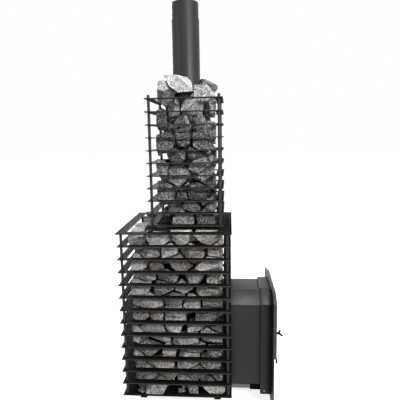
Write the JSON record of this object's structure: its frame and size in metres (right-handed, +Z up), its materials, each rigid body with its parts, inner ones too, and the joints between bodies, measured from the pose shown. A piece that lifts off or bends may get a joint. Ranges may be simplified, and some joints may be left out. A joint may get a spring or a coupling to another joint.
{
  "type": "sauna heater stove",
  "caption": "Wood-burning sauna stove with a wide lower and a narrow upper cage of stones round its firebox and flue, a fuel tunnel to a portal with a hinged glass door, and an ash drawer.",
  "frame": {"origin": "centre of the footprint's bounding box, on the floor", "axes": "+Z up, +X from the stone cages towards the fire door, +Y to the door's hinge side"},
  "size_m": [0.6944, 0.478, 1.7482],
  "materials": {
    "black_steel": "matte heat-resistant black",
    "flue_steel": "satin dark grey",
    "cast_iron": "raw casting",
    "stone": "rough broken rock",
    "glass": "heat-resistant glass",
    "rope_seal": "woven glass rope"
  },
  "bodies": {
    "stove": {"leg_frame": "black_steel", "base_plate": "black_steel", "lower_ring_01": "black_steel", "lower_ring_02": "black_steel", "lower_ring_03": "black_steel", "lower_ring_04": "black_steel", "lower_ring_05": "black_steel", "lower_ring_06": "black_steel", "lower_ring_07": "black_steel", "lower_ring_08": "black_steel", "lower_ring_09": "black_steel", "lower_ring_10": "black_steel", "lower_ring_11": "black_steel", "lower_ring_12": "black_steel", "lower_flange": "black_steel", "lower_rod_front_left": "black_steel", "lower_rod_front_right": "black_steel", "lower_rod_back_left": "black_steel", "lower_rod_back_right": "black_steel", "cage_bearer": "black_steel", "upper_ring_01": "black_steel", "upper_ring_02": "black_steel", "upper_ring_03": "black_steel", "upper_ring_04": "black_steel", "upper_ring_05": "black_steel", "upper_ring_06": "black_steel", "upper_ring_07": "black_steel", "upper_ring_08": "black_steel", "upper_ring_09": "black_steel", "upper_ring_10": "black_steel", "upper_ring_11": "black_steel", "upper_rod_front_left": "black_steel", "upper_rod_front_right": "black_steel", "upper_rod_back_left": "black_steel", "upper_rod_back_right": "black_steel", "firebox_shell": "black_steel", "fuel_tunnel": "black_steel", "tunnel_collar": "black_steel", "tunnel_shelf": "black_steel", "baffle": "black_steel", "portal_plate": "black_steel", "hinge_lower": "black_steel", "hinge_upper": "black_steel", "latch_keeper": "black_steel", "flue_pipe": "flue_steel", "flue_spigot": "flue_steel", "grate": "cast_iron", "lower_stones_front": "stone", "lower_stones_back": "stone", "lower_stones_left": "stone", "lower_stones_top": "stone", "upper_stones_front": "stone", "upper_stones_back": "stone"},
    "door": {"door_frame": "black_steel", "door_glass": "glass", "glass_retainer": "black_steel", "door_seal": "rope_seal"},
    "latch": {"latch_handle": "black_steel"},
    "drawer": {"ash_drawer": "black_steel", "drawer_pull": "black_steel"}
  },
  "joints": [
    {"name": "door_hinge", "type": "hinge", "parent": "stove", "child": "door", "pos_m": [0.31403, 0.213, 0.39], "axis": [0, 0, 1], "range_deg": [0, 120]},
    {"name": "latch_turn", "type": "hinge", "parent": "door", "child": "latch", "pos_m": [0.31623, -0.178, 0.352], "axis": [1, 0, 0], "range_deg": [-90, 0]},
    {"name": "drawer_slide", "type": "slide", "parent": "stove", "child": "drawer", "axis": [1, 0, 0], "range_m": [0, 0.42]}
  ]
}
